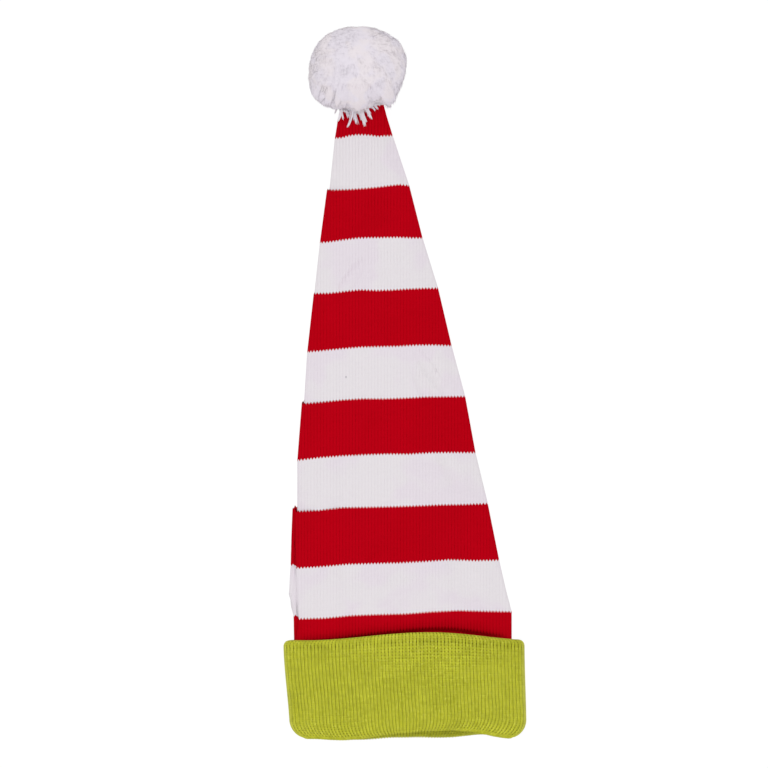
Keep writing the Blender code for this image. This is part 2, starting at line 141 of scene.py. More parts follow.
# Edges between the stripes from the foot up, in the photo's pixels: the edge's own line, and how
# far below it the edge lies at nine places spaced evenly across the front, from the left side
STRIPE_EDGES = (
    (614.5, (4.6, 3.6, 0.8, -0.2, -0.9, -2.9, -4.1, -3.3, -2.5)),
    (561.0, (7.4, 5.8, 3.3, 2.5, 1.9, 0.6, -1.2, -0.3, -0.5)),
    (507.0, (4.8, 3.5, 0.6, 0.2, -0.4, -1.2, -2.2, -2.5, -3.3)),
    (454.0, (6.5, 3.7, 1.9, 0.8, 0.0, 0.1, -1.2, -1.4, -1.2)),
    (399.5, (4.6, 2.7, 0.5, -0.8, -0.7, -1.4, -2.6, -2.8, -3.1)),
    (346.0, (6.0, 4.4, 2.6, 1.1, 0.7, 0.3, -0.8, -1.0, -0.2)),
    (292.0, (1.5, 1.2, -0.6, -2.2, -1.6, -2.0, -3.0, -3.7, -4.0)),
    (237.0, (5.6, 4.4, 2.6, 1.1, 0.7, 0.6, 0.3, 0.8, 1.0)),
    (190.0, (-0.1, 0.0, -0.4, -1.1, -2.0, -3.1, -4.4, -5.6, -4.6)),
    (136.0, (2.2, 1.8, -0.1, -1.0, -1.0, -0.4, 0.6, -0.1, -0.3)),
)

# Lines of the mouth's two edges: place across from -1 to 1, and how far up from the hat's end the
# back edge and the front edge lie, in metres
MOUTH_LINE = np.array((
    (-1.00, 0.0000, 0.0000),
    (-0.83, 0.0002, 0.0002),
    (-0.63, -0.0009, -0.0009),
    (-0.42, -0.0011, 0.0012),
    (-0.22, 0.0004, 0.0046),
    (0.00, 0.0010, 0.0066),
    (0.25, 0.0008, 0.0086),
    (0.43, 0.0013, 0.0090),
    (0.57, 0.0029, 0.0082),
    (0.65, 0.0041, 0.0072),
    (0.73, 0.0045, 0.0056),
    (0.80, 0.0032, 0.0034),
    (0.90, 0.0015, 0.0015),
    (1.00, 0.0000, 0.0000),
))

# Sides of the crown, in shares of its width from its centre line: stripes up from the foot,
# left side, right side, how far the back peeks out at the left, and height of the hollow
SIDES = np.array((
    (0.00, 0.508, 0.508, 0.000, 1.20),
    (0.54, 0.500, 0.503, 0.010, 1.15),
    (1.00, 0.487, 0.503, 0.026, 1.06),
    (1.45, 0.494, 0.475, 0.040, 1.00),
    (2.00, 0.498, 0.445, 0.028, 1.00),
    (3.00, 0.494, 0.392, 0.013, 1.00),
    (3.20, 0.494, 0.381, 0.000, 0.99),
    (4.00, 0.494, 0.335, 0.000, 0.95),
    (5.00, 0.463, 0.287, 0.000, 0.90),
    (6.00, 0.448, 0.224, 0.000, 0.86),
    (7.00, 0.415, 0.161, 0.000, 0.80),
    (8.00, 0.389, 0.089, 0.000, 0.74),
    (9.00, 0.345, 0.027, 0.000, 0.68),
    (10.0, 0.319, -0.050, 0.000, 0.60),
    (10.6, 0.303, -0.078, 0.000, 0.52),
    (11.0, 0.289, -0.094, 0.000, 0.45),
))

# Soft dents in the front: stripes up from the foot, run in stripes, place and spread across
# from -1 at the left to 1 at the right, lean across over the run, depth of the hollow's share
Dent = namedtuple("Dent", "at run across spread lean depth")
DENTS = (
    Dent(1.6, 0.7, -0.72, 0.16, 0.00, 0.13),
    Dent(1.7, 0.6, 0.62, 0.16, 0.06, 0.13),
    Dent(3.4, 0.7, -0.70, 0.15, 0.00, 0.14),
    Dent(3.8, 0.6, 0.70, 0.13, -0.08, 0.12),
    Dent(5.2, 0.4, 0.52, 0.10, -0.05, 0.12),
    Dent(5.5, 0.5, 0.66, 0.10, -0.16, 0.14),
    Dent(7.2, 0.4, -0.45, 0.16, 0.22, 0.15),
    Dent(7.5, 0.3, 0.10, 0.40, 0.00, 0.10),
    Dent(8.5, 0.3, 0.20, 0.45, 0.10, 0.09),
)

# Reach of the pompom's pile as a share of half its width, every 15 degrees clockwise from +Y
PILE_REACH = np.array((
    0.87, 0.89, 0.925, 0.975, 1.03, 1.03, 0.995, 0.965, 0.965, 0.99, 0.80, 0.82,
    0.88, 0.81, 0.91, 0.99, 1.035, 1.00, 0.962, 0.952, 0.946, 0.93, 0.897, 0.876))

STRIPE_ENDS = np.concatenate(([0.0], np.cumsum(STRIPE_DEPTHS))) * BAND_DEPTH
STRIPE_COUNT = len(STRIPE_DEPTHS)

# How far the frame's hat lies from the sizes above, whose foot line is y = 0
CROWN_LOW, CROWN_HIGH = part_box("crown")
SHIFT = np.array((CROWN_HIGH.x - CROWN_WIDTH * SIDES[0, 2], CROWN_LOW.y, 0.0))

# Soft unevenness: for each layer its height, the length of its waves in metres and its seed
CROWN_WAVES = ((0.0007, 0.045, 3), (0.0003, 0.017, 4))
CUFF_WAVES = ((0.0006, 0.050, 13), (0.0003, 0.016, 14))
FULLNESS_WAVES = ((0.45, 0.030, 15), (0.35, 0.009, 16))

# Creases in the front, in the photo's pixels: the two ends, the half width and the depth
Crease = namedtuple("Crease", "x0 y0 x1 y1 spread depth")
CREASES = (
    Crease(338, 290, 357, 268, 6.5, 0.8),
    Crease(357, 268, 402, 265, 7, 0.7),
    Crease(430, 343, 432, 361, 4.5, 0.7),
    Crease(432, 361, 438, 373, 4.5, 0.8),
    Crease(438, 373, 446, 386, 4.5, 0.7),
    Crease(420, 380, 426, 396, 4.5, 0.6),
    Crease(325, 458, 327, 500, 8, 0.7),
    Crease(449, 455, 450, 478, 7, 0.7),
    Crease(330, 562, 331, 602, 9, 0.9),
    Crease(461, 560, 474, 602, 8, 0.9),
    Crease(463, 505, 463, 532, 8, 0.7),
    Crease(330, 213, 402, 206, 8, 0.8),
)
CUFF_CREASES = (
    Crease(482, 718, 500, 726, 8, 2.2),
    Crease(300, 700, 302, 722, 6, 1),
    Crease(316, 692, 340, 694, 6, 0.6),
)

# Sections across the hat, one at each y: the outer face's left and right side, how far the back
# peeks out at the left, its lowest level, its height in the middle and at the side folds, and how
# far it is gathered, from 0 to 1
Section = namedtuple("Section", "y left right peek floor height fold tip")


def smooth(share):
    """Smooth step from 0 to 1."""
    share = np.clip(share, 0.0, 1.0)
    return share * share * (3.0 - 2.0 * share)


def blend(start, end, share):
    """Value a share of the way from the start to the end."""
    return start + (end - start) * share


def from_photo(x, y):
    """Place in the frame, in metres, of a pixel of the photo."""
    return (x - PHOTO_MIDDLE[0]) * PIXEL, (PHOTO_MIDDLE[1] - y) * PIXEL


def waves(x, y, length, seed):
    """Soft uneven waves of about one length, from -1 to 1."""
    chance = np.random.default_rng(seed)
    total = 0.0
    for _ in range(6):
        bearing, phase = chance.uniform(0.0, 2.0 * pi, 2)
        rate = 2.0 * pi / (length * chance.uniform(0.7, 1.5))
        total = total + np.sin(rate * (x * np.cos(bearing) + y * np.sin(bearing)) + phase)
    return total / 6.0


def layers(x, y, table):
    """Sum of the waves of one table."""
    return sum(height * waves(x, y, length, seed) for height, length, seed in table)


def stripe_place(at):
    """How far up from the foot line a count of stripes reaches."""
    return np.interp(at, np.arange(STRIPE_COUNT + 1), STRIPE_ENDS)


def stripes_at(y):
    """Count of the stripes up to a distance from the foot line."""
    return np.interp(y, STRIPE_ENDS, np.arange(STRIPE_COUNT + 1))


def edge_moves():
    """How far each stripe's edge lies up from its level, at the nine places across the front."""
    moves = np.zeros((STRIPE_COUNT + 1, len(STRIPE_EDGES[0][1])))
    for number, (line, below) in enumerate(STRIPE_EDGES, 1):
        _, high = from_photo(0.0, line + np.array(below))
        moves[number] = high - SHIFT[1] - STRIPE_ENDS[number]
    return moves


EDGE_MOVES = edge_moves()


def edge_move(at, across):
    """How far the crown's rows at stripe counts "at" lie up from their level, at places across."""
    last = EDGE_MOVES.shape[1] - 1
    place = (np.clip(across, -1.0, 1.0) + 1.0) / 2.0 * last
    column = np.minimum(place.astype(int), last - 1)
    row = np.minimum(at.astype(int), STRIPE_COUNT - 1) + 0 * column
    low = blend(EDGE_MOVES[row, column], EDGE_MOVES[row, column + 1], place - column)
    high = blend(EDGE_MOVES[row + 1, column], EDGE_MOVES[row + 1, column + 1], place - column)
    return blend(low, high, at - row)


def crown_section(at, stripe):
    """Outer sections of the crown at stripe counts "at" in one stripe."""
    left, right, peek, hollow = (np.interp(at, SIDES[:, 0], SIDES[:, column])
                                 for column in range(1, 5))
    y = stripe_place(at)
    tip = smooth((at - TIP_START) / (STRIPE_COUNT - TIP_START))
    height = 2.0 * KNIT_WALL + HOLLOW_HEIGHT * hollow
    lift = BAND_LIFT * (1.0 - smooth((y - EDGE_Y - 0.1 * BAND_DEPTH) / BAND_DEPTH))
    rise = (TIP_LEVEL - height / 2.0) * tip
    step = STRIPE_STEPS[stripe] * (at - stripe)
    peek = peek * (stripe < PLEAT_STRIPES)
    return Section(y, -CROWN_WIDTH * left - step, CROWN_WIDTH * right, CROWN_WIDTH * peek,
                   lift + rise, height, FOLD_HEIGHT, tip)


def edge_bow(across):
    """How far up the cuff's free edge bows, at places across."""
    reach = np.where(across < BOW_CREST, BOW_LEFT, BOW_RIGHT)
    share = np.minimum(1.0, np.abs(across - BOW_CREST) / reach)
    return EDGE_ARCH * np.cos(pi / 2.0 * share) ** 2


def corner_cut(distance, radius):
    """How far a rounded corner draws the side in, at a distance from its end."""
    inside = np.clip(radius - distance, 0.0, radius)
    return radius - np.sqrt(radius * radius - inside * inside)


def band_sides(y):
    """Left and right side of the turned-up band."""
    lean = smooth((EDGE_Y - y) / CUFF_DEPTH)
    edge = corner_cut(EDGE_Y - y, EDGE_CORNER)
    reach = CROWN_WIDTH / 2.0 + CUFF_OVERHANG - edge
    return (-reach + LEFT_EASE + corner_cut(y - MOUTH_Y, LEFT_CORNER) + LEFT_LEAN * lean,
            reach - corner_cut(y - MOUTH_Y, RIGHT_CORNER) + RIGHT_LEAN * lean)


def tunnel_section(y):
    """Outer sections of the cuff's inner wall, from the crown's foot down to the mouth."""
    foot = crown_section(np.zeros(1), 0)
    share = smooth(y / MOUTH_Y)
    left, right = band_sides(y)
    return Section(y, blend(foot.left, left + BAND_LIFT, share),
                   blend(foot.right, right - BAND_LIFT, share), 0.0, BAND_LIFT,
                   blend(foot.height, MOUTH_HEIGHT + 2.0 * KNIT_WALL, share), FOLD_HEIGHT, 0.0)


def band_section(y):
    """Outer sections of the turned-up band."""
    left, right = band_sides(y)
    inner = np.where(y > 0.0, crown_section(np.maximum(y, 0.0) / BAND_DEPTH, 0).height,
                     tunnel_section(np.minimum(y, 0.0)).height)
    return Section(y, left, right, 0.0, 0.0, inner + 2.0 * BAND_LIFT,
                   FOLD_HEIGHT + 2.0 * BAND_LIFT, 0.0)


def column_of(cut):
    """The same sections as a column, to be laid against a row of places across."""
    return Section(*(np.reshape(value, (-1, 1)) for value in cut))


def folds(cut, front, inset):
    """Radius of the two side folds, how far the left one is a pleat, length of a quarter turn, the
    two ends of the flat part between them, and length of the left fold."""
    radius = cut.fold / 2.0 - inset
    pleat = smooth(cut.peek / PLEAT_START)
    quarter = pi / 2.0 * radius
    start = cut.left + inset + radius * (1.0 - pleat / 2.0)
    length = quarter + 0.0 * cut.peek
    if not front:
        start = start - cut.peek
        length = length + cut.peek
    return radius, pleat, quarter, start, cut.right - inset - radius, length


def limits(cut, front, inset=0.0):
    """How far the sheet reaches left and right from the centre line, round its two folds."""
    _, _, quarter, start, end, length = folds(cut, front, inset)
    return start - length, end + quarter


def dent_depth(at, across):
    """Depth of the soft dents at stripe counts "at" and places across."""
    depth = 0.0
    for dent in DENTS:
        along = (at - dent.at) / dent.run
        aside = (across - dent.across - dent.lean * along) / dent.spread
        depth = depth + HOLLOW_HEIGHT * dent.depth * np.maximum(0.0, 1.0 - along ** 2 - aside ** 2)
    return depth


def soft_form(x, y, table, creases):
    """Height of the soft waves less the depth of the creases, at places of the hat."""
    height = layers(x, y, table)
    for crease in creases:
        start = np.array(from_photo(crease.x0, crease.y0)) - SHIFT[:2]
        run = np.array(from_photo(crease.x1, crease.y1)) - SHIFT[:2] - start
        share = ((x - start[0]) * run[0] + (y - start[1]) * run[1]) / (run @ run)
        share = np.clip(share, 0.0, 1.0)
        away = np.hypot(x - start[0] - share * run[0], y - start[1] - share * run[1])
        height = height - crease.depth * PIXEL * np.exp(-(away / crease.spread / PIXEL) ** 2)
    return height


def lay(cut, reach, front, inset=0.0, at=None, arch=None):
    """Places of the sheet's points at distances "reach" from the centre line, round the folds.

    Returns x, y, z and how far each point is up into a fold, from 0 to 1.
    """
    radius, pleat, quarter, start, end, length = folds(cut, front, inset)
    middle = cut.floor + inset + radius
    up = 1.0 if front else -1.0
    flat = np.clip(reach, start, end)
    around = np.clip((reach - end) / quarter, 0.0, 1.0)
    under = np.clip((start - reach) / length, 0.0, 1.0)
    turn = np.minimum(1.0, under * length / quarter)
    run = np.clip((under * length - quarter) / np.maximum(length - quarter, MERGE), 0.0, 1.0)
    x = flat + radius * np.sin(pi / 2.0 * around)
    z = middle + up * radius * np.cos(pi / 2.0 * around)
    left_x = blend(-radius * np.sin(pi / 2.0 * turn), -radius / 2.0 * np.sin(pi * turn), pleat)
    left_z = blend(np.cos(pi / 2.0 * turn), (1.0 + np.cos(pi * turn)) / 2.0, pleat)
    on_left = reach < start
    x = np.where(on_left, start + left_x + run * (length - quarter), x)
    z = np.where(on_left, middle + up * radius * left_z, z)
    weight = 1.0
    if not front:
        hidden = 1.0 - radius / 2.0 / length
        tucked = blend(PLEAT_SAG, 1.0, smooth((under - hidden) / (1.0 - hidden)))
        weight = around + blend(turn, tucked * smooth(under / PLEAT_TURN), pleat)
    across = (2.0 * flat - start - end) / (end - start)
    spot = (2.0 * x - cut.left - cut.right) / (cut.right - cut.left)
    y = cut.y + 0.0 * x
    if front:
        z = z + (cut.height - cut.fold) * (1.0 - np.abs(across) ** 3)
    if at is not None:
        y = y + edge_move(at, spot) * weight
        if front:
            away = np.maximum(cut.y - EDGE_Y - edge_bow(spot), 0.0)
            press = (UNDER_CUFF * np.exp(-(away / UNDER_RUN) ** 2)
                     + UNDER_LIP * np.exp(-(away / LIP_RUN) ** 2))
            z = z - press * (1.0 - np.abs(across) ** 6) - dent_depth(at, across) * (1.0 - cut.tip)
    if arch is not None:
        y = y + arch(spot, weight)
    z = z + GATHER_DEPTH * cut.tip * np.cos(6.0 * pi * spot) * (1.0 - spot * spot)
    return x, y, z, np.maximum(around, under)


def facing(cut, reach, front, low, high, **how):
    """Sideways and upward parts of the sheet's outward direction."""
    step = 0.0003
    after = lay(cut, np.minimum(reach + step, high), front, **how)
    before = lay(cut, np.maximum(reach - step, low), front, **how)
    run, rise = after[0] - before[0], after[2] - before[2]
    size = np.maximum(np.hypot(run, rise), 1e-9)
    side = 1.0 if front else -1.0
    return -rise / size * side, run / size * side


def stitch_relief(wales, courses, dip, seed):
    """Height of the stitches' surface from 0 to 1, each stitch a little fuller or thinner, with
    a dip of the given share between courses."""
    chance = np.random.default_rng(seed)
    legs = np.interp(wales % 1.0, *STITCH_LEGS)
    rise = np.interp(courses % 1.0, (0.0, 0.5, 1.0), (1.0 - dip, 1.0, 1.0 - dip))
    column = np.floor(wales).astype(int) % 512
    row = np.floor(courses).astype(int) % 512
    even = chance.uniform(0.82, 1.18, (512, 512))[row, column]
    return legs * rise * even * chance.uniform(0.85, 1.15, 512)[column]


def zigzag(wales):
    """The way each course bends up between two columns of stitches, from -0.5 to 0.5."""
    return np.abs(2.0 * (wales % 1.0) - 1.0) - 0.5


def deselect():
    bpy.ops.object.select_all(action="DESELECT")


def panel(name, x, y, z, wales, courses, flip, rim=None):
    """Sheet object from a flat grid whose vertices are moved to the given places.

    "rim" says how strong the painted sheen round the side folds is at each place, from 0 to 1.
    """
    along, across = x.shape
    deselect()
    bpy.ops.mesh.primitive_grid_add(x_subdivisions=across - 1, y_subdivisions=along - 1, size=2.0)
    sheet = bpy.context.object
    sheet.name = name
    mesh = sheet.data
    mesh.name = name
    places = np.stack((x + SHIFT[0], y + SHIFT[1], z), axis=-1).reshape(-1)
    mesh.vertices.foreach_set("co", places)
    if rim is not None:
        fringe = mesh.attributes.new("rim", "FLOAT", "POINT")
        fringe.data.foreach_set("value", (rim + 0.0 * x).reshape(-1))
    corner = np.empty(len(mesh.loops), dtype=np.int32)
    mesh.loops.foreach_get("vertex_index", corner)
    uv = np.stack((wales + 0.0 * x, courses + 0.0 * x), axis=-1).reshape(-1, 2)
    mesh.uv_layers[0].name = "stitches"
    mesh.uv_layers[0].uv.foreach_set("vector", uv[corner].reshape(-1))
    if flip:
        mesh.flip_normals()
    mesh.update()
    return sheet


def join(sheets, name):
    """One piece of all the sheets, without the collapsed faces beyond their sides, shaded smooth."""
    deselect()
    for sheet in sheets:
        sheet.select_set(True)
    piece = sheets[0]
    bpy.context.view_layer.objects.active = piece
    bpy.ops.object.join()
    piece.name = name
    piece.data.name = name
    bpy.ops.object.mode_set(mode="EDIT")
    bpy.ops.mesh.select_all(action="SELECT")
    bpy.ops.mesh.remove_doubles(threshold=MERGE)
    bpy.ops.object.mode_set(mode="OBJECT")
    bpy.ops.object.shade_smooth()
    return piece


class Nodes:
    """Short way to add linked nodes to one shader tree."""

    def __init__(self, tree):
        self.tree = tree

    def fill(self, node, inputs):
        """Link or set a node's inputs."""
        for key, value in dict(inputs).items():
            if isinstance(value, bpy.types.NodeSocket):
                self.tree.links.new(value, node.inputs[key])
            else:
                node.inputs[key].default_value = value
        return node

    def add(self, kind, inputs=(), output=0, **settings):
        node = self.tree.nodes.new(kind)
        for key, value in settings.items():
            setattr(node, key, value)
        return self.fill(node, inputs).outputs[output]

    def math(self, operation, *values):
        return self.add("ShaderNodeMath", enumerate(values), operation=operation)

    def vector(self, operation, inputs, output=0):
        return self.add("ShaderNodeVectorMath", inputs, output, operation=operation)

    def aside(self, share):
        """How far a share is from its middle, from 0 there to 1 at both ends."""
        return self.math("ABSOLUTE", self.math("MULTIPLY_ADD", share, 2.0, -1.0))

    def ramp(self, value, low, high, start=0.0, end=1.0):
        """Smooth step of a value from "start" at low to "end" at high."""
        inputs = {"Value": value, "From Min": low, "From Max": high, "To Min": start, "To Max": end}
        return self.add("ShaderNodeMapRange", inputs, interpolation_type="SMOOTHSTEP")

    def mix(self, factor, first, second):
        """Mix of two colours."""
        return self.add("ShaderNodeMix", {0: factor, 6: first, 7: second}, output=2,
                        data_type="RGBA")

    def noise(self, vector, scale):
        return self.add("ShaderNodeTexNoise", {"Vector": vector, "Scale": scale, "Detail": 2.0})

    def group(self, tree, inputs):
        """Outputs of a node group."""
        return self.add("ShaderNodeGroup", inputs, node_tree=tree).node.outputs


def shader_group(name, inputs, outputs):
    """New node group with named sockets, its helper and its two end nodes."""
    tree = bpy.data.node_groups.new(name, "ShaderNodeTree")
    for socket, kind in inputs:
        tree.interface.new_socket(socket, in_out="INPUT", socket_type=kind)
    for socket in outputs:
        tree.interface.new_socket(socket, in_out="OUTPUT", socket_type="NodeSocketFloat")
    return tree, Nodes(tree), tree.nodes.new("NodeGroupInput"), tree.nodes.new("NodeGroupOutput")


def stitch_group():
    """Rounded legs of each stitch, the gaps between columns, and a chance value a stitch."""
    tree, nodes, given, result = shader_group(
        "knit stitches", [("Stitches", "NodeSocketVector")],
        ["Height", "Gap", "Chance", "Course", "Hole"])
    split = nodes.add("ShaderNodeSeparateXYZ", {0: given.outputs[0]}).node
    wales, courses, _ = split.outputs
    aside = nodes.aside(nodes.math("FRACT", wales))
    between = nodes.aside(nodes.math("FRACT", courses))
    leg = nodes.math("SUBTRACT", 1.0, nodes.aside(aside))
    bead = nodes.math("SUBTRACT", 1.0, between)
    height = nodes.math("MULTIPLY", nodes.math("POWER", leg, 0.6),
                        nodes.math("MULTIPLY_ADD", nodes.math("POWER", bead, 0.6), 0.45, 0.55))
    cell = nodes.add("ShaderNodeCombineXYZ", {0: nodes.math("ROUND", wales),
                                              1: nodes.math("FLOOR", courses)})
    gap = nodes.ramp(aside, 0.62, 1.0)
    nodes.fill(result, {
        "Height": height,
        "Gap": gap,
        "Chance": nodes.add("ShaderNodeTexWhiteNoise", {"Vector": cell}, noise_dimensions="2D"),
        "Course": courses,
        "Hole": nodes.math("MULTIPLY", gap, nodes.ramp(between, 0.35, 0.9))})
    return tree


def tint_group():
    """Soft uneven brightness of dyed yarn, around 1, and its fuzz."""
    tree, nodes, given, result = shader_group(
        "yarn tint", [("Place", "NodeSocketVector"), ("Spread", "NodeSocketFloat")],
        ["Tone", "Fuzz"])
    place, strength, _ = given.outputs
    fuzz = nodes.noise(place, 1500.0)
    uneven = nodes.math("SUBTRACT", fuzz, 0.85)
    for scale, share in ((28.0, 0.4), (260.0, 0.3)):
        uneven = nodes.math("MULTIPLY_ADD", nodes.noise(place, scale), share, uneven)
    nodes.fill(result, {"Tone": nodes.math("MULTIPLY_ADD", uneven, strength, 1.0), "Fuzz": fuzz})
    return tree


def new_material(name, roughness, sheen, sheen_tint, sheen_roughness):
    """New matt material, with its helper and its shader."""
    material = bpy.data.materials.new(name)
    material.use_nodes = True
    nodes = Nodes(material.node_tree)
    shader = nodes.fill(material.node_tree.nodes["Principled BSDF"], {
        "Roughness": roughness, "Specular IOR Level": 0.0, "Sheen Weight": sheen,
        "Sheen Roughness": sheen_roughness, "Sheen Tint": (*sheen_tint, 1.0)})
    return material, nodes, shader


# What sets one knitted yarn apart: its colour, the colour of its faint patches, the colour of the
# painted shade deep in the gaps, the pale colour of its loose fibres, how uneven it is, how dark the
# painted shade in the gaps and the holes is, how strong the fine relief is, how dark the painted
# shade in the row of gaps under a free edge is, how much of the pale fibres shows, how much they
# catch the light, and the colour of the painted sheen round the cuff's side folds
Yarn = namedtuple("Yarn", "name colour patch deep pale "
                          "spread dots holes bump edge_gaps loose sheen halo", defaults=(None,))
YARNS = (
    Yarn("red yarn", (0.535, 0.00065, 0.0080), (0.52, 0.00065, 0.0074), (0.24, 0.0, 0.003),
         (0.62, 0.004, 0.020), 0.08, 0.40, 0.25, 0.35, 0.0, 0.3, 0.0),
    Yarn("white yarn", (0.865, 0.820, 0.852), (0.855, 0.785, 0.850), (0.66, 0.60, 0.65),
         (0.93, 0.90, 0.92), 0.030, 0.25, 0.15, 0.18, 0.0, 0.3, 0.0),
    Yarn("lime yarn", (0.555, 0.567, 0.036), (0.525, 0.538, 0.032), (0.04, 0.042, 0.002),
         (0.84, 0.84, 0.17), 0.34, 0.15, 2.6, 0.9, 0.60, 0.80, 1.0, (0.74, 0.72, 0.30)),
)


def knit_material(yarn, speck=None):
    """Knitted yarn, with a speck of lint at one place if it is named."""
    material, nodes, shader = new_material(yarn.name, 0.9, yarn.sheen, yarn.pale, 0.35)
    place = nodes.add("ShaderNodeTexCoord", output=3)
    stitches = nodes.add("ShaderNodeUVMap", uv_map="stitches")
    height, gap, chance, course, hole = nodes.group(STITCH_GROUP, {0: stitches})
    tint, fuzz = nodes.group(TINT_GROUP, {0: place, 1: yarn.spread})
    uneven = nodes.math("POWER", chance, 3.0)
    patchy = nodes.ramp(nodes.noise(place, 90.0), 0.35, 0.65, 0.55, 1.0)
    # Painted shade: the gaps between the stitch columns and the holes between courses are darkened
    # towards the deep colour, more at random stitches
    dots = nodes.math("MULTIPLY_ADD", uneven, yarn.dots, yarn.dots * 0.35)
    holes = nodes.math("MULTIPLY_ADD", uneven, yarn.holes * 0.5, yarn.holes * 0.5)
    holes = nodes.math("MULTIPLY", nodes.math("MULTIPLY", hole, holes), patchy)
    painted_gap_shade = nodes.math("MULTIPLY_ADD", gap, dots, holes)
    # Painted shade in the row of gaps under the cuff's free edge
    if yarn.edge_gaps:
        row = nodes.math("MULTIPLY", nodes.ramp(course, 2.1, 2.8),
                         nodes.ramp(course, 3.2, 4.0, 1.0, 0.0))
        row = nodes.math("MULTIPLY", row, nodes.ramp(gap, 0.0, 0.7, 0.0, yarn.edge_gaps))
        painted_gap_shade = nodes.math("MULTIPLY_ADD", row, patchy, painted_gap_shade)
    # The last tint is the painted shade in the gaps and holes
    tints = [(nodes.ramp(nodes.noise(place, 22.0), 0.45, 0.60), yarn.patch),
             (nodes.ramp(fuzz, 0.50, 0.75, 0.0, yarn.loose), yarn.pale),
             (painted_gap_shade, yarn.deep)]
    # Painted sheen: a paler colour painted round the cuff's side folds
    if yarn.halo:
        rim = nodes.add("ShaderNodeAttribute", output=2, attribute_name="rim")
        tints.append((nodes.math("MULTIPLY", rim, SIDE_SHEEN_SHOWN), yarn.halo))
    tone = (*yarn.colour, 1.0)
    for share, colour in tints:
        tone = nodes.mix(share, tone, (*colour, 1.0))
    bright = nodes.math("MULTIPLY_ADD", chance, yarn.spread * 0.7, 1.0 - yarn.spread * 0.35)
    bright = nodes.math("MULTIPLY", bright, tint)
    tone = nodes.vector("SCALE", {0: tone, "Scale": bright})
    if speck:
        away = nodes.vector("SUBTRACT", {0: place, 1: (*speck, 0.0)})
        away = nodes.vector("MULTIPLY", {0: away, 1: (1.0, 0.6, 0.0)})
        size = nodes.vector("LENGTH", {0: away}, output=1)
        tone = nodes.mix(nodes.ramp(size, 0.0003, 0.0009, 0.6, 0.0), tone, (0.16, 0.16, 0.20, 1.0))
    raised = nodes.math("MULTIPLY_ADD", fuzz, 0.35, height)
    normal = nodes.add("ShaderNodeBump", {"Strength": yarn.bump, "Distance": 0.0005,
                                          "Height": raised})
    nodes.fill(shader, {"Base Color": tone, "Normal": normal})
    return material


def pile_material():
    """Soft white yarn with faint pink and lilac patches."""
    material, nodes, shader = new_material("white pile yarn", 0.95, 0.40, (1.0, 0.98, 1.0), 0.6)
    place = nodes.add("ShaderNodeTexCoord", output=3)
    tint, _ = nodes.group(TINT_GROUP, {0: place, 1: 0.05})
    patch = nodes.ramp(nodes.noise(place, 55.0), 0.42, 0.60)
    tone = nodes.mix(patch, (0.885, 0.828, 0.905, 1.0), (0.915, 0.845, 0.885, 1.0))
    nodes.fill(shader, {"Base Color": nodes.vector("SCALE", {0: tone, "Scale": tint})})
    return material


STITCH_GROUP = stitch_group()
TINT_GROUP = tint_group()
RED = knit_material(YARNS[0])
WHITE = knit_material(YARNS[1], speck=from_photo(346.0, 377.0))
LIME = knit_material(YARNS[2])
PILE = pile_material()

COURSES = [round(BAND_DEPTH * depth / COURSE) for depth in STRIPE_DEPTHS]


def stripe_rows(stripe, count):
    """Stripe counts, sections and courses of one stripe's rows, which lie "count" steps deep."""
    share = np.arange(count + 1) / count
    return ((stripe + share).reshape(-1, 1), column_of(crown_section(stripe + share, stripe)),
            sum(COURSES[:stripe]) + share.reshape(-1, 1) * COURSES[stripe])


def crown_panel(stripe, front):
    """One stripe of the crown's outer face."""
    rows_per, columns_per = (2, 6) if front else (1, 2)
    at, cut, courses = stripe_rows(stripe, COURSES[stripe] * rows_per)
    low, high = limits(cut, front)
    first = int(np.floor(low.min() / WALE))
    last = int(np.ceil(high.max() / WALE))
    step = np.arange(first * columns_per, last * columns_per + 1) / columns_per
    reach = np.clip(step * WALE, low, high)
    wales = reach / WALE
    x, y, z, folded = lay(cut, reach, front, at=at)
    aside, upward = facing(cut, reach, front, low, high, at=at)
    fade = 1.0 - smooth((folded - 0.75) / 0.25)
    relief = CROWN_RELIEF * (stitch_relief(wales, courses, CROWN_DIP, 5) - RELIEF_SUNK) * fade
    if front:
        soft = soft_form(x, y, CROWN_WAVES, CREASES)
        relief = relief + soft * (1.0 - smooth(folded / 0.5)) * (1.0 - cut.tip)
    x = x + relief * aside
    z = np.maximum(z + relief * upward, 0.0)
    y = y + ZIGZAG * zigzag(wales) * fade
    return panel(f"stripe_{stripe}", x, y, z, wales, courses, flip=not front)


def crown_inside():
    """Inner face of the crown, one colour for each stripe."""
    sheets = []
    for stripe in range(STRIPE_COUNT):
        at, cut, courses = stripe_rows(stripe, COURSES[stripe] // 2)
        for front in (True, False):
            low, high = limits(cut, front, KNIT_WALL)
            reach = low + (high - low) * np.linspace(0.0, 1.0, 40)
            x, y, z, _ = lay(cut, reach, front, inset=KNIT_WALL, at=at)
            sheet = panel("inside", x, y, z, reach / WALE, courses, flip=front)
            sheet.data.materials.append(RED)
            sheet.data.materials.append(WHITE)
            sheet.data.polygons.foreach_set(
                "material_index", np.full(len(sheet.data.polygons), stripe % 2, dtype=np.int32))
            sheets.append(sheet)
    return join(sheets, "crown_inside")


def cuff_arch(y):
    """Lines of the cuff's two edges, for rows at y: how far up its points are moved."""
    to_edge = smooth(1.0 - (EDGE_Y - y) / FOOT_TUCK)
    to_mouth = smooth(1.0 - (y - MOUTH_Y) / (MOUTH_RUN * CUFF_DEPTH))

    def arch(across, weight):
        back, front = (np.interp(across, MOUTH_LINE[:, 0], MOUTH_LINE[:, column])
                       for column in (1, 2))
        return edge_bow(across) * to_edge * weight + blend(back, front, weight) * to_mouth

    return arch


Row = namedtuple("Row", "y level inner band wall course")


